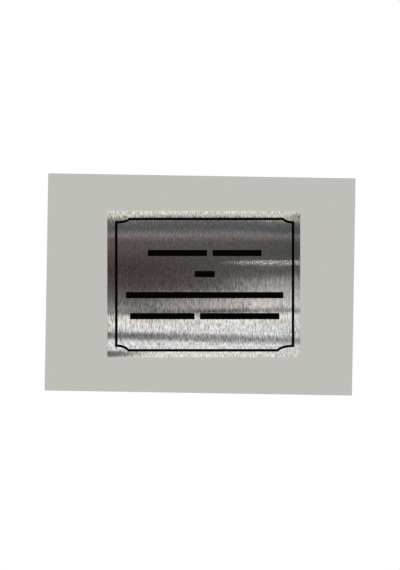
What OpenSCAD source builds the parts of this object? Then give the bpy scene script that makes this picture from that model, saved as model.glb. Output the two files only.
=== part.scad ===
// Flat steel notice plate for a door or a wall. A line border and four rows of plain bars are
// printed on its face, and strips of foam tape hold it to the wall.
// It is modelled upright: the face looks towards -Y, the width runs along X, the height along Z.
// The origin lies on the wall, behind the middle of the plate.

/* [Plate] */
// Width of the plate
plate_w = 200; // [150:1:300]
// Height of the plate
plate_h = 152; // [130:1:240]
// Thickness of the steel sheet
plate_t = 1; // [0.5:0.1:3]
// Radius of the plate's corners
corner_r = 1; // [0.2:0.1:6]

/* [Print] */
// Thickness of the ink film
ink_t = 0.1; // [0.02:0.01:0.3]
// How far the print sits to the right of the plate's middle
print_right = 0.9; // [-2:0.1:2]
// How far the print sits below the plate's middle
print_down = 0.4; // [-2:0.1:2]

/* [Border] */
// From the plate's side edges to the middle of the border line
side_margin = 8.5; // [6:0.1:20]
// From the plate's top and bottom edges to the middle of the border line
end_margin = 8; // [6:0.1:20]
// Width of the border line
line_w = 2.7; // [0.8:0.1:4]
// Reach of the top left scoop along the top line
top_left_run = 13.9; // [8:0.1:25]
// Depth of the top left scoop down the side line
top_left_drop = 3.5; // [3:0.1:15]
// Reach of the top right scoop along the top line
top_right_run = 10.3; // [8:0.1:25]
// Depth of the top right scoop down the side line
top_right_drop = 3.6; // [3:0.1:15]
// Reach of the bottom left scoop along the bottom line
bottom_left_run = 12.5; // [8:0.1:25]
// Depth of the bottom left scoop up the side line
bottom_left_drop = 4.8; // [3:0.1:15]
// Reach of the bottom right scoop along the bottom line
bottom_right_run = 15.9; // [8:0.1:25]
// Depth of the bottom right scoop up the side line
bottom_right_drop = 4.6; // [3:0.1:15]
// Degrees of its oval that each scoop follows: at 90 it would meet the end line square
scoop_turn = 70; // [50:1:88]

/* [Notice rows] */
// Clear space between the border line and the longest row, at each end
row_gap = 8.5; // [3:0.1:25]
// Spacing of the rows, middle to middle
row_pitch = 21.8; // [12:0.1:26]
// Height of the bars
bar_h = 6.5; // [3:0.1:9]
// Radius of the bars' corners
bar_r = 1; // [0.2:0.1:1.4]
// Space between two bars of a row, before the rows are fitted into the border
bar_gap = 5.6; // [2:0.1:12]
// Lengths of the bars in the first row, before fitting
row_1_bars = [61.6, 50.8]; // [10:0.1:80]
// Lengths of the bars in the second row, before fitting
row_2_bars = [21]; // [10:0.1:160]
// Lengths of the bars in the third row, before fitting
row_3_bars = [163.5]; // [10:0.1:240]
// Lengths of the bars in the fourth row, before fitting
row_4_bars = [67, 82.5]; // [10:0.1:100]

/* [Foam tape] */
// Thickness of the tape
tape_t = 1; // [0.4:0.1:3]
// Width of a strip
tape_w = 12; // [6:1:25]
// From the plate's side edges to the ends of the strips
tape_side_inset = 15; // [2:1:40]
// From the plate's top and bottom edges to the outer strips
tape_end_inset = 12; // [2:1:25]

/* [Hidden] */
$fn = 48;
// Straight steps along the curve of a scoop
scoop_steps = 20;
// Distances from the wall to the back of the plate and to the back of the ink
plate_back = tape_t;
ink_back = plate_back + plate_t;
// Size of the border along the middle of its line
border_w = plate_w - 2 * side_margin;
border_h = plate_h - 2 * end_margin;
// Each scoop, clockwise from the top left: its side (-1 left, 1 right), its end (-1 bottom, 1 top),
// its run and its drop
SCOOPS = [
    [-1, 1, top_left_run, top_left_drop],
    [1, 1, top_right_run, top_right_drop],
    [1, -1, bottom_right_run, bottom_right_drop],
    [-1, -1, bottom_left_run, bottom_left_drop]
];
// The rows, from the top down. Their lengths are fitted together, so that the longest one fills
// the border up to the row gap.
ROWS = [row_1_bars, row_2_bars, row_3_bars, row_4_bars];
fit = (border_w - line_w - 2 * row_gap) / max([for (row = ROWS) bar_start(row, len(row)) - bar_gap]);
// Height of the outer strips' middles above and below the plate's middle
outer_tape_z = plate_h / 2 - tape_end_inset - tape_w / 2;

// Distance from a row's left end to the left end of its bar i, before fitting
function bar_start(row, i) = i == 0 ? 0 : bar_start(row, i - 1) + row[i - 1] + bar_gap;

// Flat layer, drawn in X and Z, with its back at from_wall and its front at from_wall + thickness
module layer(from_wall, thickness) {
    translate([0, -from_wall, 0])
        rotate([90, 0, 0])
            linear_extrude(thickness)
                children();
}

// Rectangle about the origin with round corners
module rounded_rect(w, h, r) {
    square([w - 2 * r, h], center = true);
    square([w, h - 2 * r], center = true);
    for (x = [-1, 1], y = [-1, 1])
        translate([x * (w / 2 - r), y * (h / 2 - r)])
            circle(r);
}

// Curve of a scoop, as distances in from the border's side line and end line. It is the lowest part
// of an oval that hangs from above: level at the side line, slanted at the end line. The inset moves
// the curve and both lines inwards together, and the curve runs from the one line to the other.
function scoop_curve(run, drop, inset) =
    let (half_w = run / sin(scoop_turn) + inset, half_h = drop / (1 - cos(scoop_turn)) + inset)
    let (middle = drop + inset - half_h)
    let (from = asin(inset / half_w), to = acos((inset - middle) / half_h))
    [for (i = [0:scoop_steps])
        let (turn = from + (to - from) * i / scoop_steps)
        [half_w * sin(turn), middle + half_h * cos(turn)]];

// Area inside the border line, drawn at an inset from the middle of the line
module border_area(inset) {
    polygon([for (n = [0:len(SCOOPS) - 1])
        let (s = SCOOPS[n], curve = scoop_curve(s[2], s[3], inset))
        for (i = [0:scoop_steps])
            let (p = curve[n % 2 == 0 ? i : scoop_steps - i])
            [s[0] * (border_w / 2 - p[0]), s[1] * (border_h / 2 - p[1])]]);
}

// Puts what is printed in its place on the plate's face
module printed() {
    color([0.03, 0.03, 0.03])
        translate([print_right, 0, -print_down])
            layer(ink_back, ink_t)
                children();
}

module plate() {
    color([0.68, 0.67, 0.65])
        layer(plate_back, plate_t)
            rounded_rect(plate_w, plate_h, corner_r);
}

module printed_border() {
    printed()
        difference() {
            border_area(-line_w / 2);
            border_area(line_w / 2);
        }
}

// Row n of the notice, counted from 0 at the top: its bars side by side, centred in the border
module notice_row(n) {
    row = ROWS[n];
    row_length = bar_start(row, len(row)) - bar_gap;
    printed()
        for (i = [0:len(row) - 1])
            translate([
                (bar_start(row, i) + row[i] / 2 - row_length / 2) * fit,
                ((len(ROWS) - 1) / 2 - n) * row_pitch
            ])
                rounded_rect(row[i] * fit, bar_h, bar_r);
}

// Level strip of tape between the plate and the wall, with its middle at the given height
module foam_tape(z) {
    color([0.32, 0.32, 0.33])
        layer(0, tape_t)
            translate([0, z])
                square([plate_w - 2 * tape_side_inset, tape_w], center = true);
}

plate();
printed_border();
notice_row(0);  // notice_row_1
notice_row(1);  // notice_row_2
notice_row(2);  // notice_row_3
notice_row(3);  // notice_row_4
foam_tape(outer_tape_z);  // foam_tape_top
foam_tape(0);  // foam_tape_middle
foam_tape(-outer_tape_z);  // foam_tape_bottom
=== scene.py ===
# %% [markdown]
# # A brushed steel notice plate, dressed in Blender
#
# The object is a flat sign for a door or a wall: a sheet of brushed stainless steel, a border line
# with scooped corners and four rows of bars printed on it in black, and strips of foam tape that
# hold it to the wall. There is not much form here. What makes it look real is the metal: a thin
# sheet is never quite flat, and brushed steel smears the room that it reflects into level bands.
#
# The lesson goes from the frame to the light, then to the sheet, the print and the tape. Lengths
# are in metres, and small ones are written in millimetres times `mm`.

import bmesh
import bpy
import numpy as np
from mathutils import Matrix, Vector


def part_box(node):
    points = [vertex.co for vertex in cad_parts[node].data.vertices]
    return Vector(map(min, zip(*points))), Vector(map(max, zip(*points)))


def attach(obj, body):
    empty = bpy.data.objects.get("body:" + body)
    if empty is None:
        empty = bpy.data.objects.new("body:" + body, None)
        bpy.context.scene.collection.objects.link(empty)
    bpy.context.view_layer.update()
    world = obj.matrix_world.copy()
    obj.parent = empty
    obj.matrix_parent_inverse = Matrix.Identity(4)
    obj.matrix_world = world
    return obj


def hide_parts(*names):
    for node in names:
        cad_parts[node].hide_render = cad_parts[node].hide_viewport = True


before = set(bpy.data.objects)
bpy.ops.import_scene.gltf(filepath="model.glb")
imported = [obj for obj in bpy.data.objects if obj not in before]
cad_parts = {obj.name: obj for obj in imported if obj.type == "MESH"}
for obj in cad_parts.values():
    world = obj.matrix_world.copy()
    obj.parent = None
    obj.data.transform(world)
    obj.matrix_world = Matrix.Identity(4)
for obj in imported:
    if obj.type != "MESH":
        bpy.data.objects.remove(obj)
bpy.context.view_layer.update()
mm = 0.001
plate_low, plate_high = (np.array(corner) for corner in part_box("plate"))
plate_width, plate_thickness, plate_height = plate_high - plate_low
print("plate", np.round([plate_width, plate_height, plate_thickness], 5), "nodes", sorted(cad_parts))

# %% [markdown]
# ## Helpers for shader nodes
#
# Every finish below is a small network of nodes. With one line a node, holding its settings and what
# feeds it side by side, a network stays as easy to read as a formula. The helpers after the first
# are the nodes that come back most: sums of numbers and of colours, a soft step, a colour ramp in
# real units, a noise whose blotches have a size in millimetres, and a mix of two colours.

# %% Helpers: one line a node
plain_white = (1, 1, 1, 1)


def put(tree, kind, feeds=None, **settings):
    """Adds a node with its settings. What feeds an input is another node's socket or a plain value."""
    made = tree.nodes.new(kind)
    for name, value in settings.items():
        setattr(made, name, value)
    for name, value in (feeds or {}).items():
        if isinstance(value, bpy.types.NodeSocket):
            tree.links.new(value, made.inputs[name])
        else:
            made.inputs[name].default_value = value
    return made


def maths(tree, operation, first, second=0.0):
    """Math node on two sockets or numbers: gives its result."""
    return put(tree, "ShaderNodeMath", {0: first, 1: second}, operation=operation).outputs[0]


def vector_maths(tree, operation, first, second):
    """Vector Math node on two sockets or triples: gives its result."""
    return put(tree, "ShaderNodeVectorMath", {0: first, 1: second}, operation=operation).outputs[0]


def scaled(tree, vector, amount):
    """A vector or colour times a number."""
    return put(tree, "ShaderNodeVectorMath", {0: vector, "Scale": amount}, operation="SCALE").outputs[0]


print("helpers for sums ready")

# %% Helpers: soft steps, ramps, noise and mixes
def ease(tree, value, start, end, low=0.0, high=1.0):
    """Goes softly from low to high while value goes from start to end, and stays there on both sides."""
    feeds = {"Value": value, "From Min": start, "From Max": end, "To Min": low, "To Max": high}
    return put(tree, "ShaderNodeMapRange", feeds, interpolation_type="SMOOTHSTEP").outputs[0]


def ramp(tree, value, stops):
    """Colour ramp through (value, brightness or colour) stops, given in the value's own units.

    The positions are set before the colours, because Blender sorts the steps by position.
    """
    low, high = stops[0][0], stops[-1][0]
    share = put(tree, "ShaderNodeMapRange", {"Value": value, "From Min": low, "From Max": high})
    made = put(tree, "ShaderNodeValToRGB", {"Fac": share.outputs[0]})
    steps = made.color_ramp.elements
    while len(steps) < len(stops):
        steps.new(0.5)
    for step, (place, shade) in zip(steps, stops):
        step.position = (place - low) / (high - low)
    for step, (place, shade) in zip(steps, stops):
        step.color = (*np.broadcast_to(shade, 3), 1.0)
    return made.outputs["Color"]


def noise(tree, place, size, detail=2.0):
    """Noise from 0 to 1 about 0.5, with blotches of `size` mm: one size, or one each for X, Y and Z."""
    shrunk = vector_maths(tree, "DIVIDE", place, tuple(float(s) * mm for s in np.broadcast_to(size, 3)))
    feeds = {"Vector": shrunk, "Scale": 1.0, "Detail": detail, "Roughness": 0.6}
    return put(tree, "ShaderNodeTexNoise", feeds).outputs["Fac"]


def mixed(tree, share, first, second):
    """Mix of two colours: the first where share is 0, the second where it is 1."""
    feeds = {0: share, 6: first, 7: second}
    return put(tree, "ShaderNodeMix", feeds, data_type="RGBA").outputs[2]


def new_material(name):
    """Empty material with an output node: gives the material, its node tree and its surface socket."""
    made = bpy.data.materials.new(name)
    made.use_nodes = True
    made.node_tree.nodes.clear()
    return made, made.node_tree, made.node_tree.nodes.new("ShaderNodeOutputMaterial").inputs["Surface"]


print("helpers for finishes ready")

# %% [markdown]
# ## Helpers for meshes
#
# A mesh is two arrays: where the corners are, and which corners make each face. Rows and columns of
# a grid give the faces by pure index arithmetic, so no loop over corners is needed. The first helper
# turns the arrays into an object; the others number the faces of a grid, find its rim, and join two
# rims by a band.

# %% Helpers: mesh from arrays
def mesh_piece(name, points, faces, materials, face_material=None):
    """Object from corner points (n, 3) and four-sided faces (m, 4), with its finish per face."""
    mesh = bpy.data.meshes.new(name)
    mesh.vertices.add(len(points))
    mesh.vertices.foreach_set("co", np.asarray(points, np.float32).ravel())
    mesh.loops.add(faces.size)
    mesh.loops.foreach_set("vertex_index", faces.astype(np.int32).ravel())
    mesh.polygons.add(len(faces))
    mesh.polygons.foreach_set("loop_start", np.arange(0, faces.size, 4, dtype=np.int32))
    mesh.update(calc_edges=True)
    mesh.validate()
    for material in materials:
        mesh.materials.append(material)
    if face_material is not None:
        mesh.polygons.foreach_set("material_index", face_material.astype(np.int32))
    mesh.polygons.foreach_set("use_smooth", np.full(len(mesh.polygons), True))
    made = bpy.data.objects.new(name, mesh)
    bpy.context.scene.collection.objects.link(made)
    return made


def quads(index):
    """Faces between the rows and columns of a grid of corner numbers, turned to look towards -Y."""
    return np.stack([index[:-1, :-1], index[:-1, 1:], index[1:, 1:], index[1:, :-1]], -1).reshape(-1, 4)


def rim_of(index):
    """Corner numbers round the outside of a grid, anticlockwise as the front view shows it."""
    return np.concatenate([index[0, :-1], index[:-1, -1], index[-1, :0:-1], index[:0:-1, 0]])


def band(outer, inner):
    """Faces between two closed rings of corners, of which `inner` comes first on the way round."""
    return np.stack([inner, outer, np.roll(outer, -1), np.roll(inner, -1)], -1)


print("helpers for meshes ready")

# %% [markdown]
# ## Camera
#
# The photograph looks straight at the plate from the front. The distance decides which part of the
# room the plate mirrors, so it is a round one, 0.8 m from the face, and the lens follows from how
# much the picture takes in at the plate. The plate isn't quite in the picture's middle, so the lens
# stands a little to its left and below it.

# %% Camera in front of the plate
camera_distance = 0.8
camera_aside, camera_height = -3.9 * mm, -0.8 * mm
picture_height = 590.0 * mm
sensor_side = 36.0
camera_data = bpy.data.cameras.new("front_camera")
camera_data.sensor_width = sensor_side
camera_data.lens = sensor_side * camera_distance / picture_height
camera = bpy.data.objects.new("front_camera", camera_data)
camera.location = (camera_aside, plate_low[1] - camera_distance, camera_height)
camera.rotation_euler = (np.pi / 2, 0, 0)
bpy.context.scene.collection.objects.link(camera)
bpy.context.scene.camera = camera
bpy.context.scene.view_settings.view_transform = "Standard"
print("lens", round(camera_data.lens, 2), "mm")

# %% [markdown]
# ## World and lamp
#
# The world gives the plain, even light. The camera sees it as white, and so would a mirror, were it
# not for the room that comes further down; for rough surfaces it is a little lower, so that pale ones
# don't burn out. One wide soft lamp, high on the left, gives the cut edges a side to catch the light.

# %% World and lamp
world = bpy.data.worlds.new("studio_light")
bpy.context.scene.world = world
world.use_nodes = True
sky = world.node_tree
sky.nodes.clear()
soft_light = put(sky, "ShaderNodeBackground", {"Color": (0.8, 0.8, 0.8, 1)})
white_light = put(sky, "ShaderNodeBackground", {"Color": plain_white})


def sees_white(tree):
    """1 for what the camera, a mirror or glass sees, 0 for the light that falls on rough surfaces."""
    ray = put(tree, "ShaderNodeLightPath").outputs
    mirror_or_glass = maths(tree, "MAXIMUM", ray["Is Glossy Ray"], ray["Is Transmission Ray"])
    return maths(tree, "MAXIMUM", ray["Is Camera Ray"], mirror_or_glass)


world_mix = {0: sees_white(sky), 1: soft_light.outputs[0], 2: white_light.outputs[0]}
lit = put(sky, "ShaderNodeMixShader", world_mix)
put(sky, "ShaderNodeOutputWorld", {"Surface": lit.outputs[0]})
lamp_data = bpy.data.lights.new("soft_lamp", "AREA")
lamp_data.shape = "RECTANGLE"
lamp_data.size, lamp_data.size_y = 1.2, 0.8
lamp_data.energy = 6.0
lamp = bpy.data.objects.new("soft_lamp", lamp_data)
lamp.location = (-0.9, -1.1, 1.3)
lamp.rotation_euler = (np.radians(42), 0, np.radians(-39))
bpy.context.scene.collection.objects.link(lamp)
print("lamp", lamp_data.energy, "W,", lamp_data.size, "by", lamp_data.size_y, "m")

# %% [markdown]
# ## Floor and grey card
#
# The floor is far below, out of the front view, and turns to white towards its rim. In the
# photograph the plate lies before a flat grey card, which leans a degree clockwise. Card and floor
# are stage, not object. Only the camera sees the card, and from behind it is clear, so that it never
# hides the back of the plate.

# %% Floor
def flat_sheet(name, corners):
    """One four-sided face through the corners, given in order round it."""
    mesh = bpy.data.meshes.new(name)
    mesh.from_pydata([tuple(corner) for corner in corners], [], [(0, 1, 2, 3)])
    made = bpy.data.objects.new(name, mesh)
    bpy.context.scene.collection.objects.link(made)
    return made


around = [(-1, -1), (1, -1), (1, 1), (-1, 1)]
floor_side, floor_z = 0.75, -0.6
fade_from = 0.3
floor = flat_sheet("floor", [(x * floor_side, y * floor_side, floor_z) for x, y in around])
floor_paint, tree, surface = new_material("floor_paint")
place = put(tree, "ShaderNodeTexCoord").outputs["Object"]
from_middle = vector_maths(tree, "ADD", place, (0, 0, -floor_z))
radius = put(tree, "ShaderNodeVectorMath", {0: from_middle}, operation="LENGTH").outputs["Value"]
paint = put(tree, "ShaderNodeBsdfDiffuse", {"Color": (0.9, 0.9, 0.9, 1)})
white = put(tree, "ShaderNodeEmission", {"Color": plain_white})
fade = maths(tree, "MULTIPLY", ease(tree, radius, fade_from, floor_side), sees_white(tree))
floor_mix = put(tree, "ShaderNodeMixShader", {0: fade, 1: paint.outputs[0], 2: white.outputs[0]})
tree.links.new(floor_mix.outputs[0], surface)
floor.data.materials.append(floor_paint)
print("floor", 2 * floor_side, "m wide, at height", floor_z, "m")

# %% Grey card
card_middle = np.array([-3.8, 0.4, -0.2]) * mm
card_half = np.array([159.6, 112.8]) * mm
card_lean = np.radians(0.95)
card_grey = (0.521, 0.515, 0.485, 1)
card_right = np.array([np.cos(card_lean), 0, -np.sin(card_lean)])
card_up = np.array([np.sin(card_lean), 0, np.cos(card_lean)])
card_corners = [card_middle + a * card_half[0] * card_right + b * card_half[1] * card_up for a, b in around]
card = flat_sheet("grey_card", card_corners)
card_paint, tree, surface = new_material("card_paint")
grey = put(tree, "ShaderNodeEmission", {"Color": card_grey})
clear = put(tree, "ShaderNodeBsdfTransparent")
behind = put(tree, "ShaderNodeNewGeometry").outputs["Backfacing"]
card_mix = put(tree, "ShaderNodeMixShader", {0: behind, 1: grey.outputs[0], 2: clear.outputs[0]})
tree.links.new(card_mix.outputs[0], surface)
card.data.materials.append(card_paint)
card.visible_diffuse = card.visible_glossy = card.visible_transmission = card.visible_shadow = False
print("card", np.round(2 * card_half / mm, 1), "mm, leans", round(np.degrees(card_lean), 2), "degrees")

# %% [markdown]
# ## The room that the steel mirrors
#
# Brushed steel has hardly a colour of its own: it shows the room. A photographer sets bright cards
# above and below the lens and leaves a dark gap between them, because metal without something
# dark to mirror looks like grey paper. That room is a large sphere here, seen by mirrors alone, so
# far away that every point of the plate sees it in the same directions.
#
# Its brightness is a ramp over the height above or below the horizon, in degrees. The gap lies just
# about level with the lens. A bright doorway fills its lower part on the right, up to a level top
# edge at the horizon, and the floor that it lights lies lower but reaches further to the left. The
# gap isn't quite neutral either: it is reddish towards the left, from a wall or a curtain there.
# Each stop below is a height or a width in degrees, and the brightness or colour that the room has
# there.

# %% Brightness of the gap, the doorway and its floor, over the height in degrees
creamy = np.array([1.0, 1.0, 0.95])
bluish = np.array([0.93, 0.98, 1.08])
cool_grey = np.array([0.98, 1.0, 1.01])
purplish = np.array([1.03, 0.96, 1.01])
pinkish = np.array([1.03, 0.985, 1.0])
near_horizon = [
    (-3.6, 1.0), (-3.1, 0.9), (-2.75, 0.72 * cool_grey), (-2.45, 0.46 * cool_grey),
    (-2.2, 0.29 * cool_grey), (-1.9, 0.205 * cool_grey), (-1.6, 0.17 * cool_grey),
    (-1.3, 0.14), (-1.0, 0.118), (-0.5, 0.083), (0.2, 0.069), (0.9, 0.063), (1.4, 0.074),
    (2.0, 0.1), (2.6, 0.125), (2.95, 0.112), (3.2, 0.165), (3.5, 0.3 * purplish),
    (3.72, 0.19 * purplish), (3.95, 0.12 * bluish), (4.4, 0.14 * bluish), (4.79, 0.19),
    (4.94, 0.7 * creamy), (5.06, 1.0 * creamy),
]
doorway = [
    (-3.1, 0.0), (-2.5, 1.0), (-0.5, 1.0), (-0.12, 1.0 * cool_grey), (0.0, 0.85 * cool_grey),
    (0.08, 0.63), (0.17, 0.4), (0.3, 0.22), (0.5, 0.16), (1.4, 0.1), (2.2, 0.0),
]
lit_floor = [
    (-3.3, 0.0), (-2.5, 1.0), (-1.6, 0.97 * pinkish), (-1.2, 0.72 * pinkish), (-0.9, 0.52),
    (-0.8, 0.42), (-0.65, 0.25), (-0.5, 0.08), (0.0, 0.08), (0.3, 0.12), (1.4, 0.08), (2.2, 0.0),
]
print("stops of the gap", len(near_horizon), "doorway", len(doorway), "lit floor", len(lit_floor))

# %% Brightness of the whole room, over the height and over the width in degrees
whole_height = [
    (-90, 0.9), (-45, 0.85), (-30, 0.5), (-17, 0.4), (-10, 0.85), (-7, 1.0),
    (12, 1.0), (20, 0.8), (32, 0.5), (50, 0.9), (90, 1.0),
]
whole_width = [
    (-90, 0.9), (-9, 0.95), (-5.5, 1.0), (2.5, 1.0), (4.8, (0.985, 1.0, 1.01)),
    (6.5, (0.845, 0.865, 0.875)), (9, (0.785, 0.805, 0.815)), (90, 0.9),
]
gap_tint = [
    (-8, (1.36, 1.14, 1.16)), (-5.8, (1.11, 0.96, 0.965)), (-3, (1.10, 0.96, 0.97)),
    (1, (1.03, 0.98, 0.99)), (4, (1.01, 1.0, 1.01)), (8, (1.03, 1.0, 0.99)),
]
print("stops over the height", len(whole_height), "over the width", len(whole_width))

# %% The room as a sphere
room_radius = 40.0
steps_round, steps_up = 48, 24
around_room = np.radians(np.linspace(0, 360, steps_round + 1))[:-1]
up_room = np.radians(np.linspace(-90, 90, steps_up + 1))[1:-1, None]
ring_x, ring_y = np.cos(up_room) * np.cos(around_room), np.cos(up_room) * np.sin(around_room)
ring_points = np.stack([ring_x, ring_y, np.sin(up_room) * np.ones(steps_round)], -1).reshape(-1, 3)
room_points = np.concatenate([ring_points, [(0, 0, -1), (0, 0, 1)]]) * room_radius
lowest, highest = len(ring_points), len(ring_points) + 1
ring_index = np.arange(len(ring_points)).reshape(-1, steps_round)
ring_index = np.concatenate([ring_index, ring_index[:, :1]], 1)
bottom_fan = [(b, a, lowest) for a, b in zip(ring_index[0, :-1], ring_index[0, 1:])]
top_fan = [(a, b, highest) for a, b in zip(ring_index[-1, :-1], ring_index[-1, 1:])]
room_mesh = bpy.data.meshes.new("mirrored_room")
room_mesh.from_pydata(room_points.tolist(), [], quads(ring_index).tolist() + bottom_fan + top_fan)
room = bpy.data.objects.new("mirrored_room", room_mesh)
bpy.context.scene.collection.objects.link(room)
room.visible_camera = room.visible_diffuse = room.visible_shadow = room.visible_volume_scatter = False
print("room", room_radius, "m,", len(room_points), "corners")

# %% Material: the room's light
room_light, tree, surface = new_material("room_light")
place = put(tree, "ShaderNodeTexCoord").outputs["Object"]
direction = put(tree, "ShaderNodeVectorMath", {0: place}, operation="NORMALIZE").outputs[0]
split = put(tree, "ShaderNodeSeparateXYZ", {0: direction}).outputs
door_from, door_to, door_light = 1.4, 5.6, 0.38
floor_from, floor_to, floor_light = -4.3, 0.5, 0.3
right = maths(tree, "DEGREES", maths(tree, "ARCSINE", split["X"]))
up = maths(tree, "DEGREES", maths(tree, "ARCSINE", split["Z"]))
door_share = ease(tree, right, door_from, door_to, 0.0, door_light)
through_door = scaled(tree, ramp(tree, up, doorway), door_share)
floor_share = ease(tree, right, floor_from, floor_to, 0.0, floor_light)
on_floor = scaled(tree, ramp(tree, up, lit_floor), floor_share)
glow = vector_maths(tree, "ADD", through_door, on_floor)
gap = vector_maths(tree, "ADD", ramp(tree, up, near_horizon), glow)
in_gap = maths(tree, "MULTIPLY", ease(tree, up, -1.9, -1.1), ease(tree, up, 4.1, 1.5))
tinted = vector_maths(tree, "MULTIPLY", gap, mixed(tree, in_gap, plain_white, ramp(tree, right, gap_tint)))
sides = vector_maths(tree, "MULTIPLY", ramp(tree, right, whole_width), ramp(tree, up, whole_height))
shine = put(tree, "ShaderNodeEmission", {"Color": vector_maths(tree, "MULTIPLY", tinted, sides)})
tree.links.new(shine.outputs[0], surface)
room_light.cycles.emission_sampling = "NONE"
room.data.materials.append(room_light)
print("room light nodes", len(tree.nodes))

# %% [markdown]
# ## How the sheet waves
#
# A one millimetre sheet that is rolled, cut and pressed onto three strips of tape keeps slight
# waves. They are far too small to see as a shape, some tenths of a millimetre, but a mirror doubles
# every tilt, so they bend the reflections clearly. The photograph shows where: each dark or bright
# line that doesn't belong to the room is a wave.
#
# A wave is easier to think of as a tilt than as a height. So each one below is a bell-shaped tilt
# over the plate's height, in degrees, and the heights are the running sum of all tilts. Their mean
# is taken off first, so that the bottom edge and the top edge end up at the same depth.

# %% Waves of the sheet
# name: middle height, reach above, reach below (mm), rise of the middle over 100 mm of width (mm),
# tilt before and after (degrees) the stretch of width over which it changes (mm)
waves = {
    "slack in the top left": (66.0, 12.0, 22.0, 0.0, 0.18, 0.0, -95, -20),
    "slack in the top right": (66.0, 12.0, 22.0, 0.0, 0.0, 0.23, 15, 95),
    "crease on the right": (22.0, 2.6, 3.4, 0.0, 0.0, -0.62, -15, 40),
    "dip in the top right corner": (71.0, 3.0, 3.0, 0.0, 0.0, -0.2, 84, 100),
    "ripple over the lowest row": (-28.5, 3.8, 2.5, 1.3, 0.2, 1.0, -95, 40),
    "long dent near the bottom": (-55.7, 5.8, 7.5, -2.3, 1.2, 2.1, -40, 80),
    "dent in the bottom left corner": (-72.0, 6.0, 10.0, 0.0, 2.0, 0.0, -110, 20),
}
table_columns, table_rows = 101, 609
table_x = np.linspace(-0.5, 0.5, table_columns) * round(plate_width / mm, 3)
table_z = np.linspace(-0.5, 0.5, table_rows) * round(plate_height / mm, 3)


def smooth_step(value, start, end):
    """0 before start, 1 after end, and 3t^2 - 2t^3 between them, where t is the share of the way."""
    t = np.clip((value - start) / (end - start), 0, 1)
    return t * t * (3 - 2 * t)


def sheet_tilt(x, z):
    """Sum of the waves' tilts at x, z in mm: tilt times exp(-(distance / reach)^2)."""
    total = np.zeros(np.broadcast(x, z).shape)
    for middle, above, below, rise, before, after, start, end in waves.values():
        strength = before + (after - before) * smooth_step(x, start, end)
        distance = z - middle - rise * x / 100
        total += strength * np.exp(-((distance / np.where(distance > 0, above, below)) ** 2))
    return total


table_steps = np.array([table_x[1] - table_x[0], table_z[1] - table_z[0]])
print(len(waves), "waves, the table of heights has steps of", np.round(table_steps, 3), "mm")

# %% Heights of the sheet
tilts = sheet_tilt(table_x[None, :], table_z[:, None])
tilts -= tilts.mean(axis=0)
table_depth = np.cumsum(np.tan(np.radians(tilts)), axis=0) * (table_z[1] - table_z[0])
table_depth -= table_depth.min()
inside_last = 1.001


def sheet_depth(x, z):
    """How far the sheet lies in from its highest point, in metres, at x, z in metres.

    It reads the table of heights between its four nearest entries: a straight mix along x, then
    along z. A place in the table stays just short of the last entry, so that there is a next one.
    """
    along = (x / mm - table_x[0]) / (table_x[1] - table_x[0])
    upward = (z / mm - table_z[0]) / (table_z[1] - table_z[0])
    along = np.clip(along, 0, table_columns - inside_last)
    upward = np.clip(upward, 0, table_rows - inside_last)
    i, j = along.astype(int), upward.astype(int)
    a, b = along - i, upward - j
    low = table_depth[j, i] * (1 - a) + table_depth[j, i + 1] * a
    high = table_depth[j + 1, i] * (1 - a) + table_depth[j + 1, i + 1] * a
    return (low * (1 - b) + high * b) * mm


print("tilts", np.round([tilts.min(), tilts.max()], 2), "deg, deepest", round(table_depth.max(), 3), "mm")

# %% [markdown]
# ## Brushing and tarnish as node groups
#
# A brushing belt leaves short scratches side by side. They do two things: each one reflects a little
# more or less than its neighbour, and each one leans a little, so the edge of a reflection looks
# frayed. Both come from one noise that is stretched along the scratches.
#
# Bare steel that has been handled also has faint clouds of colour, warm and cool, from its thin skin
# of oxide and oil. That is a second group. Both serve the face and the back, each time with sizes
# and strengths of their own, so a change to the idea is made in one place.

# %% Helper: node group with named sockets
def new_group(name, inputs, outputs):
    """Shader node group with named sockets: {name: (kind, value)} in, {name: kind} out."""
    made = bpy.data.node_groups.new(name, "ShaderNodeTree")
    for label, (kind, value) in inputs.items():
        socket = made.interface.new_socket(label, in_out="INPUT", socket_type="NodeSocket" + kind)
        if value is not None:
            socket.default_value = value
    for label, kind in outputs.items():
        made.interface.new_socket(label, in_out="OUTPUT", socket_type="NodeSocket" + kind)
    return made, made.nodes.new("NodeGroupInput").outputs, made.nodes.new("NodeGroupOutput").inputs


def use_group(tree, group, place, **sizes):
    """A group in a finish, with its own values: gives the group's outputs."""
    made = put(tree, "ShaderNodeGroup", node_tree=group)
    for name, value in {"Place": place, **sizes}.items():
        label = name.replace("_", " ")
        if isinstance(value, bpy.types.NodeSocket):
            tree.links.new(value, made.inputs[label])
        else:
            made.inputs[label].default_value = value
    return made.outputs


print("helpers for groups ready")

# %% Node group: brushing
brushing_inputs = {
    "Place": ("Vector", None),
    "Across": ("Float", 1.0),
    "Along": ("Float", 8.0),
    "Tone": ("Float", 0.6),
    "Lean Across": ("Float", 0.1),
    "Lean Along": ("Float", 0.01),
}
brushing, given, result = new_group("brushing", brushing_inputs, {"Tone": "Float", "Normal": "Vector"})
size_feeds = {0: given["Across"], 1: given["Across"], 2: given["Along"]}
scratch_size = put(brushing, "ShaderNodeCombineXYZ", size_feeds).outputs[0]
stretched = vector_maths(brushing, "DIVIDE", scaled(brushing, given["Place"], 1 / mm), scratch_size)
streak_feeds = {"Vector": stretched, "Scale": 1.0, "Detail": 2.0, "Roughness": 0.6}
streaks = put(brushing, "ShaderNodeTexNoise", streak_feeds).outputs
about_zero = vector_maths(brushing, "SUBTRACT", streaks["Color"], (0.5, 0.5, 0.5))
lean_size = put(brushing, "ShaderNodeCombineXYZ", {0: given["Lean Across"], 1: 0.0, 2: given["Lean Along"]})
lean = vector_maths(brushing, "MULTIPLY", about_zero, lean_size.outputs[0])
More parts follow.
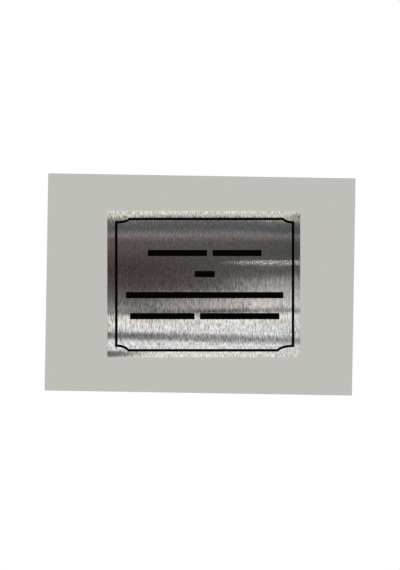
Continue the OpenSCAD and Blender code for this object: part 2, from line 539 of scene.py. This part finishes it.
leaning = vector_maths(brushing, "ADD", put(brushing, "ShaderNodeNewGeometry").outputs["Normal"], lean)
unit = put(brushing, "ShaderNodeVectorMath", {0: leaning}, operation="NORMALIZE").outputs[0]
brushing.links.new(unit, result["Normal"])
tone = maths(brushing, "MULTIPLY", maths(brushing, "SUBTRACT", streaks["Fac"], 0.5), given["Tone"])
brushing.links.new(maths(brushing, "ADD", tone, 1.0), result["Tone"])
print("group", brushing.name, "with", len(brushing.nodes), "nodes")

# %% Node group: tarnish
tarnish_inputs = {"Place": ("Vector", None), "Size": ("Float", 25.0), "Amount": ("Float", 1.0)}
tarnish, given, result = new_group("tarnish", tarnish_inputs, {"Tint": "Color"})
in_clouds = scaled(tarnish, given["Place"], maths(tarnish, "DIVIDE", 1 / mm, given["Size"]))
cloud_feeds = {"Vector": in_clouds, "Scale": 1.0, "Detail": 3.0, "Roughness": 0.5}
clouds = put(tarnish, "ShaderNodeTexNoise", cloud_feeds).outputs["Fac"]
warm_to_cool = [
    (0.32, (1.07, 0.96, 0.97)),
    (0.44, (1.03, 0.99, 0.97)),
    (0.55, 1.0),
    (0.68, (0.95, 1.0, 1.05)),
]
tint = mixed(tarnish, given["Amount"], plain_white, ramp(tarnish, clouds, warm_to_cool))
tarnish.links.new(tint, result["Tint"])
print("group", tarnish.name, "with", len(tarnish.nodes), "nodes")

# %% [markdown]
# ## The brushed face
#
# The scratches run up and down. Light that meets them is spread sideways, ten times as far as up
# and down, and that is what the anisotropic setting of the Principled shader does. It needs to know
# the way of the grain, which comes from the sheet's own map: its first coordinate runs along X.
#
# The belt didn't work the sheet evenly. The photograph shows a row of short scuffs across the right
# half, a pin-prick near the left edge, and a coarser grain at the foot and along the top. Over the
# long dent the colour gets a cool tint, which is a painted reflection: a bluish reflected band laid
# into the steel's colour. Each of these places is a mask from 0 to 1, worked out from where a point
# lies. A painted image could hold them too, but a mask stays sharp at any distance. In the soft
# steps below, the first length is where the mask is still 0 and the second is where it is full.

# %% Brushed face: masks of its special places
brushed_face, tree, surface = new_material("brushed_face")
place = put(tree, "ShaderNodeTexCoord").outputs["Object"]
where = put(tree, "ShaderNodeSeparateXYZ", {0: place}).outputs
scuff_height, scuff_reach = 22.9 * mm, 2.2 * mm
scuffs_from, scuffs_to = 4 * mm, 60 * mm
prick_middle = (-84 * mm, 0, 16.9 * mm)
from_scuffs = maths(tree, "DIVIDE", maths(tree, "SUBTRACT", where["Z"], scuff_height), scuff_reach)
bell = maths(tree, "EXPONENT", maths(tree, "MULTIPLY", maths(tree, "POWER", from_scuffs, 2.0), -1.0))
scuffs = maths(tree, "MULTIPLY", bell, ease(tree, where["X"], scuffs_from, scuffs_to))
flat_place = vector_maths(tree, "MULTIPLY", place, (1, 0, 1))
to_prick = vector_maths(tree, "SUBTRACT", flat_place, prick_middle)
from_prick = put(tree, "ShaderNodeVectorMath", {0: to_prick}, operation="LENGTH").outputs["Value"]
prick = ease(tree, from_prick, 0.7 * mm, 0.25 * mm)
low_down = ease(tree, where["Z"], -12 * mm, -34 * mm)
coarse = maths(tree, "MAXIMUM", low_down, ease(tree, where["Z"], 66 * mm, 72 * mm))
# Band over the long dent, where a cool painted reflection is laid into the colour
below_top = ease(tree, where["Z"], -43 * mm, -50 * mm)
above_foot = ease(tree, where["Z"], -70 * mm, -60 * mm)
painted_reflection_band = maths(tree, "MULTIPLY", below_top, above_foot)
print("scuffs at height", round(scuff_height / mm, 1), "mm, nodes so far", len(tree.nodes))

# %% [markdown]
# Three sizes of scratch lie over each other: the streaks that the photograph shows one by one, the
# hairlines that only a close look shows, and a little grit. Each makes the steel reflect more or
# less. The streaks lean too, and where the scuffs are, short ones that lean much more replace them.

# %% Brushed face: scratches
streak_tone = maths(tree, "ADD", 2.0, maths(tree, "MULTIPLY", coarse, 1.3))
grit_tone = maths(tree, "ADD", 0.7, maths(tree, "MULTIPLY", coarse, 0.5))
streaks = use_group(tree, brushing, place, Across=0.65, Along=4.0, Tone=streak_tone, Lean_Across=0.05)
hairlines = use_group(tree, brushing, place, Across=0.14, Along=14.0, Tone=1.4)
scuffed = use_group(tree, brushing, place, Across=0.9, Along=1.1, Lean_Across=0.05, Lean_Along=0.34)
leaning = mixed(tree, scuffs, streaks["Normal"], scuffed["Normal"])
leaning = put(tree, "ShaderNodeVectorMath", {0: leaning}, operation="NORMALIZE").outputs[0]
grit = maths(tree, "SUBTRACT", noise(tree, place, (0.8, 0.8, 1.0)), 0.5)
speckle = maths(tree, "ADD", 1.0, maths(tree, "MULTIPLY", grit, grit_tone))
brightness = maths(tree, "MULTIPLY", maths(tree, "MULTIPLY", streaks["Tone"], hairlines["Tone"]), speckle)
print("brushed face, nodes so far", len(tree.nodes))

# %% Brushed face: colour and shader
steel_colour = (0.70, 0.67, 0.63)
# Painted reflection: a cool tint for the band over the long dent
painted_reflection_tint = (0.945, 1.0, 1.045, 1)
handled = maths(tree, "SUBTRACT", 0.8, maths(tree, "MULTIPLY", low_down, 0.5))
clouded = use_group(tree, tarnish, place, Size=22.0, Amount=handled)["Tint"]
colour = vector_maths(tree, "MULTIPLY", scaled(tree, steel_colour, brightness), clouded)
# Painted reflection: the cool tint over the long dent
colour = vector_maths(tree, "MULTIPLY", colour, mixed(tree, painted_reflection_band, plain_white, painted_reflection_tint))
smears = maths(tree, "MULTIPLY", noise(tree, place, (30.0, 30.0, 9.0)), 0.02)
dull = maths(tree, "MULTIPLY", prick, 0.22)
steel = put(tree, "ShaderNodeBsdfPrincipled", {
    "Base Color": colour,
    "Metallic": 1.0,
    "Roughness": maths(tree, "ADD", maths(tree, "ADD", 0.05, smears), dull),
    "Anisotropic": 1.0,
    "Normal": leaning,
    "Tangent": put(tree, "ShaderNodeTangent", direction_type="UV_MAP", uv_map="sheet_map").outputs[0],
})
tree.links.new(steel.outputs[0], surface)
print("brushed face, all nodes", len(tree.nodes))

# %% [markdown]
# ## The cut edge and the back of the sheet
#
# Shears don't cut a sheet all the way through. The blade rubs the front third bright and smooth, and
# then the rest tears off, dull and grainy, with fine lines in the direction of the cut. The material
# needs to know how deep in the edge a point lies, so the mesh carries that as an attribute, named
# `through`: 0 at the face and 1 at the back.
#
# The back was never brushed. It keeps the rolling mill's finish: smooth, a little cloudy, with very
# long faint lines, and a few hairline scratches from the stack that the sheet lay in. For those, the
# back is ruled into slanted lanes with one scratch each, a random way along, and a slow noise bends
# the lanes so that no two scratches are quite parallel.

# %% Material: cut edge
cut_edge, tree, surface = new_material("cut_edge")
place = put(tree, "ShaderNodeTexCoord").outputs["Object"]
through = put(tree, "ShaderNodeAttribute", attribute_name="through").outputs["Fac"]
shear_lines = noise(tree, place, (0.15, 3.0, 0.15))
ragged = maths(tree, "MULTIPLY", maths(tree, "SUBTRACT", shear_lines, 0.5), 0.5)
torn = ease(tree, maths(tree, "ADD", through, ragged), 0.38, 0.52)
grains = noise(tree, place, 0.12, detail=4.0)
edge_tone = maths(tree, "ADD", 0.75, maths(tree, "MULTIPLY", shear_lines, 0.5))
torn_tone = maths(tree, "ADD", 0.35, maths(tree, "MULTIPLY", grains, 0.6))
bright = scaled(tree, (0.72, 0.70, 0.67), edge_tone)
dim = scaled(tree, (0.62, 0.60, 0.57), torn_tone)
torn_height = maths(tree, "MULTIPLY", grains, torn)
edge_height = maths(tree, "ADD", torn_height, maths(tree, "MULTIPLY", shear_lines, 0.3))
edge_bump = put(tree, "ShaderNodeBump", {"Strength": 0.5, "Distance": 0.04 * mm, "Height": edge_height})
steel = put(tree, "ShaderNodeBsdfPrincipled", {
    "Base Color": mixed(tree, torn, bright, dim),
    "Metallic": 1.0,
    "Roughness": maths(tree, "ADD", 0.22, maths(tree, "MULTIPLY", torn, 0.3)),
    "Normal": edge_bump.outputs["Normal"],
})
tree.links.new(steel.outputs[0], surface)
print("cut edge nodes", len(tree.nodes))

# %% Back from the mill: hairline scratches
mill_back, tree, surface = new_material("mill_back")
place = put(tree, "ShaderNodeTexCoord").outputs["Object"]
lane_width, lane_length, slant = 6 * mm, 120 * mm, np.radians(28)
slanted = put(tree, "ShaderNodeMapping", {"Vector": place, "Rotation": (0, slant, 0)}).outputs["Vector"]
slanted = put(tree, "ShaderNodeSeparateXYZ", {0: slanted}).outputs
bend = maths(tree, "MULTIPLY", noise(tree, place, 70.0, detail=0.0), 4.0)
lane = maths(tree, "ADD", maths(tree, "DIVIDE", slanted["X"], lane_width), bend)
lane_feeds = {"W": maths(tree, "FLOOR", lane)}
chance = put(tree, "ShaderNodeTexWhiteNoise", lane_feeds, noise_dimensions="1D").outputs["Value"]
along_lane = maths(tree, "ADD", maths(tree, "DIVIDE", slanted["Z"], lane_length), chance)
from_line = maths(tree, "ABSOLUTE", maths(tree, "SUBTRACT", maths(tree, "FRACT", lane), 0.5))
from_stroke = maths(tree, "ABSOLUTE", maths(tree, "SUBTRACT", maths(tree, "FRACT", along_lane), 0.5))
on_line, on_stroke = ease(tree, from_line, 0.016, 0.006), ease(tree, from_stroke, 0.12, 0.02)
hair_line = maths(tree, "MULTIPLY", on_line, on_stroke)
print("scratch lanes", round(lane_width / mm, 1), "by", round(lane_length / mm, 1), "mm")

# %% Back from the mill: colour and shader
rolling = {"Across": 0.7, "Along": 60.0, "Tone": 0.35, "Lean_Across": 0.03, "Lean_Along": 0.002}
rolled = use_group(tree, brushing, place, **rolling)
haze = noise(tree, place, 9.0, detail=4.0)
colour = scaled(tree, (0.62, 0.61, 0.59), rolled["Tone"])
clouded = use_group(tree, tarnish, place, Size=35.0, Amount=0.6)["Tint"]
colour = vector_maths(tree, "MULTIPLY", colour, clouded)
colour = mixed(tree, maths(tree, "MULTIPLY", hair_line, 0.7), colour, (0.85, 0.84, 0.82, 1))
back_roughness = maths(tree, "ADD", 0.2, maths(tree, "MULTIPLY", haze, 0.2))
steel = put(tree, "ShaderNodeBsdfPrincipled", {
    "Base Color": colour,
    "Metallic": 1.0,
    "Roughness": maths(tree, "ADD", back_roughness, maths(tree, "MULTIPLY", hair_line, 0.15)),
    "Normal": rolled["Normal"],
})
tree.links.new(steel.outputs[0], surface)
print("mill back nodes", len(tree.nodes))

# %% [markdown]
# ## The steel sheet
#
# The sheet is one closed skin: a front grid, rings that roll over the rim where the shears pulled it
# round, the cut wall, a crisper rim at the back, and a back grid that follows the same waves. The
# outermost squares of the grids are bent into the quarter circles of the corners. The cells are wide
# but low, because the waves run across the plate. A box with a bevel would be quicker, but it
# couldn't wave.

# %% Helpers: grid with round corners
def grid_lines(half, corner, cell):
    """Grid lines from -half to half: four narrow cells over each corner, near-even cells between."""
    straight = half - corner
    middle = np.linspace(-straight, straight, int(round(2 * straight / cell)) + 1)
    narrow = straight + corner * np.linspace(0, 1, 5)[1:]
    return np.concatenate([-narrow[::-1], middle, narrow])


def rounded_grid(half_w, half_h, corner, cell_x, cell_z):
    """Grid on a rectangle with round corners.

    In a corner square with shares a, b from the arc's middle, the point moves to
    a * sqrt(1 - b^2 / 2), b * sqrt(1 - a^2 / 2), which turns the square into a quarter disc.
    """
    x, z = np.meshgrid(grid_lines(half_w, corner, cell_x), grid_lines(half_h, corner, cell_z))
    a = np.clip((np.abs(x) - half_w + corner) / corner, 0, 1)
    b = np.clip((np.abs(z) - half_h + corner) / corner, 0, 1)
    round_x = np.sign(x) * (half_w - corner + corner * a * np.sqrt(1 - b * b / 2))
    round_z = np.sign(z) * (half_h - corner + corner * b * np.sqrt(1 - a * a / 2))
    return np.where(a > 0, round_x, x), np.where(b > 0, round_z, z)


print("helpers for grids ready")

# %% Helper: skin of a slab with round corners
def outward(x, z, half_w, half_h, corner):
    """Unit directions out of a rounded rectangle at points on its outline, as two arrays."""
    dx = x - np.clip(x, corner - half_w, half_w - corner)
    dz = z - np.clip(z, corner - half_h, half_h - corner)
    length = np.hypot(dx, dz)
    return dx / length, dz / length


def slab_skin(half_w, half_h, corner, cells, rings, front_at, back_at, middle_z=0.0):
    """Closed skin of a flat slab: front grid, rings round its side, back grid.

    Each ring is (how far it stands out from the grid's outline, how deep it lies as a share of the
    way from front to back). The last ring is the outline of the back grid. Gives the points, the
    faces, the side of each face (0 front, 1 edge, 2 back) and each point's share of the way through.
    """
    x, z = rounded_grid(half_w, half_h, corner, *cells)
    front = np.arange(x.size).reshape(x.shape)
    rim = rim_of(front)
    rim_x, rim_z = x.ravel()[rim], z.ravel()[rim]
    out_x, out_z = outward(rim_x, rim_z, half_w, half_h, corner)
    inside = np.ones(x.size, bool)
    inside[rim] = False
    rings_x = [rim_x + out * out_x for out, share in rings]
    rings_z = [rim_z + out * out_z for out, share in rings]
    flat_x = np.concatenate([x.ravel()] + rings_x + [x.ravel()[inside]])
    flat_z = np.concatenate([z.ravel()] + rings_z + [z.ravel()[inside]])
    ring_shares = np.repeat([share for out, share in rings], rim.size)
    through = np.concatenate([np.zeros(x.size), ring_shares, np.ones(inside.sum())])
    flat_z = flat_z + middle_z
    front_y, back_y = front_at(flat_x, flat_z), back_at(flat_x, flat_z)
    points = np.stack([flat_x, front_y + (back_y - front_y) * through, flat_z], -1)
    loops = [rim] + [x.size + k * rim.size + np.arange(rim.size) for k in range(len(rings))]
    back = np.zeros(x.size, int)
    back[inside] = x.size + len(rings) * rim.size + np.arange(inside.sum())
    back[rim] = loops[-1]
    walls = np.concatenate([band(outer, inner) for inner, outer in zip(loops[:-1], loops[1:])])
    parts = [quads(front), walls, quads(back.reshape(x.shape))[:, ::-1]]
    return points, np.concatenate(parts), np.repeat([0, 1, 2], [len(p) for p in parts]), through


print("helpers for skins ready")

# %% The steel sheet
corner_radius = 1.0 * mm
front_roll, back_roll = 0.2 * mm, 0.06 * mm
sheet_cells = (4 * mm, 0.5 * mm)
quarter = np.radians(np.linspace(0, 90, 5))[1:]
front_rings = [(front_roll * np.sin(t), front_roll * (1 - np.cos(t)) / plate_thickness) for t in quarter]
back_rings = [(front_roll - back_roll * (1 - np.cos(t)), 1 - back_roll * (1 - np.sin(t)) / plate_thickness)
              for t in np.append(0.0, quarter)]
points, faces, side, through = slab_skin(
    plate_width / 2 - front_roll,
    plate_height / 2 - front_roll,
    corner_radius - front_roll,
    sheet_cells,
    front_rings + back_rings + [(0.0, 1.0)],
    lambda x, z: plate_low[1] + sheet_depth(x, z),
    lambda x, z: plate_high[1] + sheet_depth(x, z),
)
sheet = mesh_piece("steel_sheet", points, faces, [brushed_face, cut_edge, mill_back], side)
sheet.data.attributes.new("through", "FLOAT", "POINT").data.foreach_set("value", through.astype(np.float32))
sheet_map = sheet.data.uv_layers.new(name="sheet_map")
corner_points = points[faces.ravel()]
flat_map = np.stack([corner_points[:, 0], corner_points[:, 2]], -1) / plate_width + 0.5
sheet_map.data.foreach_set("uv", flat_map.astype(np.float32).ravel())
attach(sheet, "root")
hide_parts("plate")
print("steel sheet", len(points), "corners,", len(faces), "faces")

# %% [markdown]
# ## The print
#
# The ink is a film a tenth of a millimetre thick, screen printed while the sheet was flat, so it
# follows every wave. Its outlines are right in the CAD model already. Each film is a copy of its
# CAD solid: the copy's loose triangles are merged, cut into small cells, and laid on the sheet.
#
# Ink that was pressed through a mesh dries with a faint orange peel and is not equally matt
# everywhere, which shows only where a light glances off it.

# %% Material: black ink
black_ink, tree, surface = new_material("black_ink")
place = put(tree, "ShaderNodeTexCoord").outputs["Object"]
peel = noise(tree, place, 0.35, detail=3.0)
matt = noise(tree, place, 6.0)
thin_spots = ramp(tree, noise(tree, place, 1.5), [(0.3, 0.0008), (0.5, 0.0012), (0.7, 0.0022)])
peel_bump = put(tree, "ShaderNodeBump", {"Strength": 0.35, "Distance": 0.02 * mm, "Height": peel})
ink = put(tree, "ShaderNodeBsdfPrincipled", {
    "Base Color": thin_spots,
    "Roughness": maths(tree, "ADD", 0.35, maths(tree, "MULTIPLY", matt, 0.2)),
    "Specular IOR Level": 0.01,
    "Normal": peel_bump.outputs["Normal"],
})
tree.links.new(ink.outputs[0], surface)
print("black ink nodes", len(tree.nodes))

# %% The printed films
film_cells = (5 * mm, 1.5 * mm)
merge_within, cut_within = 1e-6, 2e-6


def cut_into_cells(shape, axis, low, high, cell):
    """Cuts a bmesh by flat planes square to one axis, a cell apart."""
    direction = [0.0, 0.0, 0.0]
    direction[axis] = 1.0
    for cut in np.arange(low + cell, high - cell / 2, cell):
        middle = [0.0, 0.0, 0.0]
        middle[axis] = cut
        everything = shape.verts[:] + shape.edges[:] + shape.faces[:]
        bmesh.ops.bisect_plane(
            shape, geom=everything, plane_co=middle, plane_no=direction, dist=cut_within
        )


def ink_film(name, node):
    """Copy of an ink node, merged, cut into cells and laid on the waving sheet."""
    low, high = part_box(node)
    shape = bmesh.new()
    shape.from_mesh(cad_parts[node].data)
    bmesh.ops.remove_doubles(shape, verts=shape.verts, dist=merge_within)
    cut_into_cells(shape, 0, low.x, high.x, film_cells[0])
    cut_into_cells(shape, 2, low.z, high.z, film_cells[1])
    bmesh.ops.remove_doubles(shape, verts=shape.verts, dist=merge_within)
    mesh = bpy.data.meshes.new(name)
    shape.to_mesh(mesh)
    shape.free()
    places = np.zeros(len(mesh.vertices) * 3, np.float32)
    mesh.vertices.foreach_get("co", places)
    places = places.reshape(-1, 3).astype(float)
    places[:, 1] += sheet_depth(places[:, 0], places[:, 2])
    mesh.vertices.foreach_set("co", places.astype(np.float32).ravel())
    mesh.materials.clear()
    mesh.materials.append(black_ink)
    made = bpy.data.objects.new(name, mesh)
    bpy.context.scene.collection.objects.link(made)
    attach(made, "root")
    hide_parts(node)
    print(name, len(mesh.vertices), "corners,", len(mesh.polygons), "faces")


ink_film("border_film", "printed_border")
for row in range(1, 5):
    ink_film(f"notice_film_{row}", f"notice_row_{row}")

# %% [markdown]
# ## The foam tape
#
# Each strip is cut by hand from a roll of grey foam with glue on both faces. The plate is pressed on,
# so the foam is thinner where the sheet waves inwards, its sides bulge, and its ends aren't quite
# square. The same skin as the sheet's serves, with a bulging edge and the sheet's back as its front.
#
# The foam is closed cells, seen as small pits where a blade went through them. Their grey darkens
# towards each pit's middle, which is painted shade. The glue is smooth and tacky, with a faint
# wrinkle.

# %% Material: foam
foam, tree, surface = new_material("foam")
place = put(tree, "ShaderNodeTexCoord").outputs["Object"]
foam_cell = 0.3 * mm
cell_feeds = {"Vector": scaled(tree, place, 1 / foam_cell), "Scale": 1.0}
cell_depth = put(tree, "ShaderNodeTexVoronoi", cell_feeds).outputs["Distance"]
# Painted shade: the grey is darkest in each cell's middle, as if shade lay in the pits
grey_with_pit_shade = ramp(tree, cell_depth, [(0.0, (0.12, 0.12, 0.123)), (0.35, (0.2, 0.2, 0.203)), (0.8, 0.28)])
blotches = maths(tree, "ADD", 0.8, maths(tree, "MULTIPLY", noise(tree, place, 4.0), 0.4))
foam_bump = put(tree, "ShaderNodeBump", {"Strength": 0.8, "Distance": 0.08 * mm, "Height": cell_depth})
rubber = put(tree, "ShaderNodeBsdfPrincipled", {
    "Base Color": scaled(tree, grey_with_pit_shade, blotches),
    "Roughness": maths(tree, "ADD", 0.75, maths(tree, "MULTIPLY", cell_depth, 0.2)),
    "Specular IOR Level": 0.3,
    "Normal": foam_bump.outputs["Normal"],
})
tree.links.new(rubber.outputs[0], surface)
print("foam nodes", len(tree.nodes))

# %% Material: glue
glue, tree, surface = new_material("glue")
place = put(tree, "ShaderNodeTexCoord").outputs["Object"]
wrinkle = noise(tree, place, (6.0, 6.0, 1.2), detail=3.0)
dust = ease(tree, noise(tree, place, 0.4, detail=4.0), 0.62, 0.7)
tacky = ramp(tree, wrinkle, [(0.3, (0.17, 0.17, 0.168)), (0.7, (0.24, 0.24, 0.235))])
glue_bump = put(tree, "ShaderNodeBump", {"Strength": 0.5, "Distance": 0.05 * mm, "Height": wrinkle})
film = put(tree, "ShaderNodeBsdfPrincipled", {
    "Base Color": mixed(tree, maths(tree, "MULTIPLY", dust, 0.4), tacky, (0.4, 0.39, 0.375, 1)),
    "Roughness": maths(tree, "ADD", 0.28, maths(tree, "MULTIPLY", maths(tree, "ADD", wrinkle, dust), 0.2)),
    "Normal": glue_bump.outputs["Normal"],
})
tree.links.new(film.outputs[0], surface)
print("glue nodes", len(tree.nodes))

# %% The three strips
foam_bulge = 0.3 * mm
foam_corner = 0.4 * mm
foam_cells = (4 * mm, 0.7 * mm)
slanted_end = 8 * mm
foam_rings = [(foam_bulge * np.sin(np.pi * t), t) for t in np.linspace(0, 1, 9)[1:]]
strips = {
    "tape_top": ("foam_tape_top", (0.02, -0.01)),
    "tape_middle": ("foam_tape_middle", (-0.015, 0.02)),
    "tape_bottom": ("foam_tape_bottom", (0.01, 0.015)),
}


def foam_strip(name, node, slants):
    """Strip of tape behind the sheet: a slab skin whose edge stands out by bulge * sin(pi * t).

    Near each end, x shrinks by slant * height + |slant| * half_h, with the height taken from the
    strip's middle: by nothing at one corner and most at the other. So the end runs slightly askew
    and never past the CAD solid's.
    """
    low, high = (np.array(corner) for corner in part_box(node))
    middle_z = (low[2] + high[2]) / 2
    half_w, half_h = (high[0] - low[0]) / 2, (high[2] - low[2]) / 2
    points, faces, side, through = slab_skin(
        half_w - foam_bulge,
        half_h - foam_bulge,
        foam_corner,
        foam_cells,
        foam_rings,
        lambda x, z: low[1] + sheet_depth(x, z),
        lambda x, z: np.full(x.shape, high[1]),
        middle_z,
    )
    height = points[:, 2] - middle_z
    for end, slant in zip((-1, 1), slants):
        near_end = smooth_step(end * points[:, 0], half_w - slanted_end, half_w - foam_bulge)
        points[:, 0] -= end * near_end * (slant * height + abs(slant) * half_h)
    strip = mesh_piece(name, points, faces, [glue, foam], np.where(side == 1, 1, 0))
    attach(strip, "root")
    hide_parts(node)
    thinnest = (high[1] - points[through == 0, 1].max()) / mm
    print(name, len(points), "corners, thinnest", round(thinnest, 2), "mm")


for name, (node, slants) in strips.items():
    foam_strip(name, node, slants)
